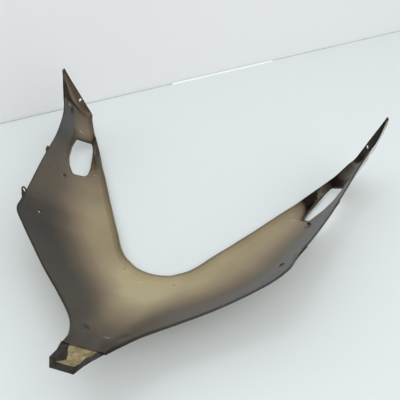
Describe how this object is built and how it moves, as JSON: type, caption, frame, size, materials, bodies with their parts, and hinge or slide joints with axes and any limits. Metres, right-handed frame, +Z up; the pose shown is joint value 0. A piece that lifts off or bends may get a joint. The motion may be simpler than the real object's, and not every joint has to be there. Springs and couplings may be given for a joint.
{
  "type": "scooter front panel",
  "caption": "V shaped hollow scooter front panel with upturned pointed arms, a lamp opening in each arm, side tabs and a narrow tail.",
  "frame": {"origin": "middle of the footprint, on the table the panel lies on", "axes": "+X across the panel to its right arm, +Y from the tail towards the arms' tips, +Z up, the hollow side up"},
  "size_m": [0.4726, 0.467, 0.115],
  "materials": {
    "panel_plastic": "satin"
  },
  "bodies": {
    "root": {"front_panel": "panel_plastic"}
  },
  "joints": []
}
